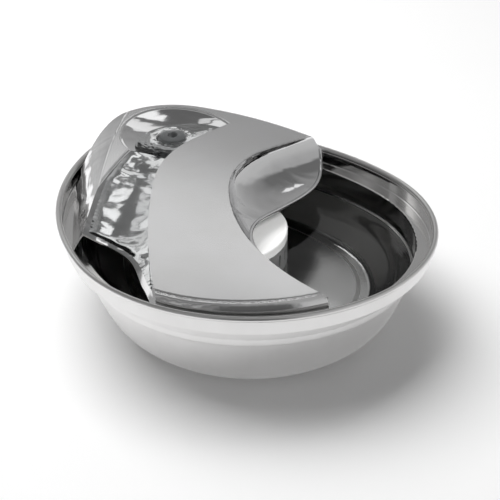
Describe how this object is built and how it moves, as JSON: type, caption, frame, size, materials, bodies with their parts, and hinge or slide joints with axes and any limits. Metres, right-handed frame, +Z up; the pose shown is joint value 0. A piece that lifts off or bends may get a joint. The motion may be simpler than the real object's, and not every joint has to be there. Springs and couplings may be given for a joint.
{
  "type": "pet water fountain",
  "caption": "Raindrop-shaped steel drinking fountain: a basin with a lift-off cover whose dish, chute and scooped drinking side hide a filter housing and pump.",
  "frame": {"origin": "on the ground, under the centre of the bowl's outline", "axes": "+Z up, +Y along the raindrop towards its small tip, where the spring dish is; the drinking end is at -Y"},
  "size_m": [0.2476, 0.3026, 0.0946],
  "materials": {
    "steel_satin": "brushed stainless steel",
    "steel_polished": "polished stainless steel",
    "white_plastic": "smooth moulded plastic",
    "black_plastic": "moulded plastic",
    "grey_plastic": "moulded plastic",
    "clear_vinyl": "soft clear vinyl",
    "soft_rubber": "moulded rubber",
    "carbon": "granular pad",
    "foam": "open-cell foam",
    "copper": "enamelled wire",
    "laminations": "stacked steel",
    "magnet": "sintered magnet",
    "shaft_ceramic": "ground ceramic"
  },
  "bodies": {
    "base": {"bowl": "steel_satin", "housing_tub": "white_plastic", "housing_lid": "white_plastic", "filter_frame": "white_plastic", "filter_carbon": "carbon", "filter_foam": "foam", "pump_body": "black_plastic", "motor_back_plate": "black_plastic", "cord_gland": "soft_rubber", "stator_core": "laminations", "coil_bobbin": "white_plastic", "coil_winding": "copper", "impeller_shaft": "shaft_ceramic", "shaft_bush_rear": "soft_rubber", "shaft_bush_front": "soft_rubber", "splitter_plate": "black_plastic", "splitter_o_ring": "soft_rubber", "pump_front_cover": "black_plastic", "suction_cups": "soft_rubber", "riser_tube": "clear_vinyl"},
    "cover": {"cover": "steel_polished", "outlet_ring": "grey_plastic"},
    "rotor": {"impeller": "white_plastic", "rotor_magnet": "magnet"},
    "flow_slider": {"flow_slider": "grey_plastic"}
  },
  "joints": [
    {"name": "cover_lift", "type": "slide", "parent": "base", "child": "cover", "axis": [0, 0, 1], "range_m": [0, 0.06]},
    {"name": "impeller_spin", "type": "hinge", "parent": "base", "child": "rotor", "pos_m": [0.003, 0.092, 0.0265], "axis": [0, 1, 0], "continuous": true},
    {"name": "flow_slide", "type": "slide", "parent": "base", "child": "flow_slider", "axis": [0, 0, 1], "range_m": [0, 0.008]}
  ]
}
